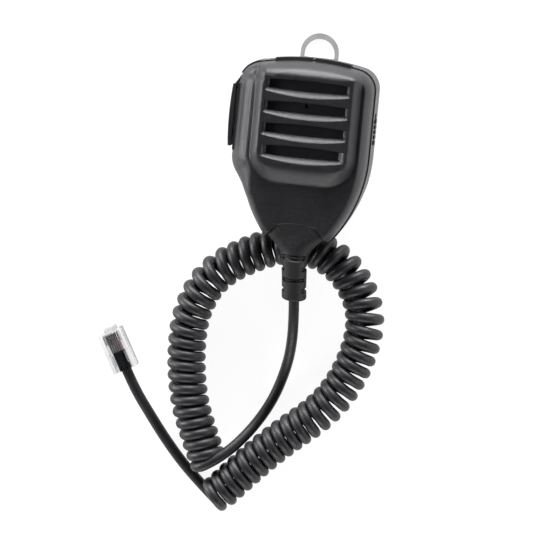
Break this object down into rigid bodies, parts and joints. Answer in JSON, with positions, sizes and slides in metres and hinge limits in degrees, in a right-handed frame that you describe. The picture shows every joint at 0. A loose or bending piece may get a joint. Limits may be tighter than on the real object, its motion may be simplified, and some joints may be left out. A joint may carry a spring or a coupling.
{
  "type": "hand microphone",
  "caption": "Palm-sized hand microphone with a slotted front pad, side talk lever, top keys, hanger loop, curly cord and clear modular plug.",
  "frame": {"origin": "on the flat back of the rear case, on the case's centre line, under the middle of the slotted pad", "axes": "+Z out of the front face, +Y towards the hanger loop, +X to the right seen from the front; the microphone lies on its back"},
  "size_m": [0.1329, 0.2264, 0.036],
  "materials": {
    "case_plastic": "fine moulded texture, satin",
    "lever_plastic": "fine moulded texture, satin",
    "key_rubber": "matte",
    "boot_rubber": "matte",
    "cord_jacket": "smooth, semi-gloss",
    "hanger_steel": "stamped, satin",
    "screw_steel": "satin",
    "capsule_metal": "satin",
    "inner_plastic": "smooth",
    "board_green": "solder mask",
    "felt": "pressed felt",
    "contact_brass": "gold plated",
    "wire_plastic": "smooth",
    "plug_clear": "clear polycarbonate"
  },
  "bodies": {
    "microphone": {"front_case": "case_plastic", "rear_case": "case_plastic", "case_screws": "screw_steel", "hanger_plate": "hanger_steel", "hanger_screws": "screw_steel", "ptt_pin": "screw_steel", "ptt_spring": "screw_steel", "ptt_switch": "inner_plastic", "key_switches": "inner_plastic", "lock_switch": "inner_plastic", "circuit_board": "board_green", "board_screws": "screw_steel", "capsule_holder": "boot_rubber", "mic_capsule": "capsule_metal", "dust_felt": "felt", "capsule_leads": "contact_brass", "board_socket": "inner_plastic", "harness_wires": "wire_plastic", "cord_stub": "cord_jacket", "cord_boot": "boot_rubber", "cord_clamp": "inner_plastic", "clamp_screws": "screw_steel", "cord_tail_boot": "cord_jacket", "cord_coil": "cord_jacket", "cord_tail_plug": "cord_jacket", "plug_shell": "plug_clear", "plug_contacts": "contact_brass", "plug_wedge": "plug_clear", "plug_jacket": "cord_jacket", "plug_wires": "wire_plastic"},
    "talk_lever": {"ptt_lever": "lever_plastic"},
    "talk_plunger": {"ptt_plunger": "inner_plastic"},
    "up_key": {"up_key": "key_rubber"},
    "down_key": {"down_key": "key_rubber"},
    "lock_slider": {"lock_slider": "lever_plastic"},
    "plug_latch": {"plug_latch": "plug_clear"}
  },
  "joints": [
    {"name": "talk_lever_hinge", "type": "hinge", "parent": "microphone", "child": "talk_lever", "pos_m": [-0.0316, 0.0244, 0.0134], "axis": [0, 0, 1], "range_deg": [0, 3.6], "stiffness_Nm_per_rad": 0.6, "springref_deg": -1.15},
    {"name": "talk_plunger_slide", "type": "slide", "parent": "microphone", "child": "talk_plunger", "axis": [1, 0, 0], "range_m": [0, 0.0017], "deforming": ["ptt_spring"]},
    {"name": "up_key_press", "type": "slide", "parent": "microphone", "child": "up_key", "axis": [0, -1, 0], "range_m": [0, 0.0008], "stiffness_N_per_m": 1800, "springref_m": -0.0002},
    {"name": "down_key_press", "type": "slide", "parent": "microphone", "child": "down_key", "axis": [0, -1, 0], "range_m": [0, 0.0008], "stiffness_N_per_m": 1800, "springref_m": -0.0002},
    {"name": "lock_slider_slide", "type": "slide", "parent": "microphone", "child": "lock_slider", "axis": [0, 1, 0], "range_m": [0, 0.0024]},
    {"name": "plug_latch_hinge", "type": "hinge", "parent": "microphone", "child": "plug_latch", "pos_m": [-0.08526, -0.09962, 0.0031], "axis": [-0.8755, -0.4833, 0], "range_deg": [0, 8], "stiffness_Nm_per_rad": 0.25, "springref_deg": -1.15}
  ],
  "couplings": [
    {"joint": "talk_plunger_slide", "follows": "talk_lever_hinge", "m_per_rad": 0.0254}
  ]
}
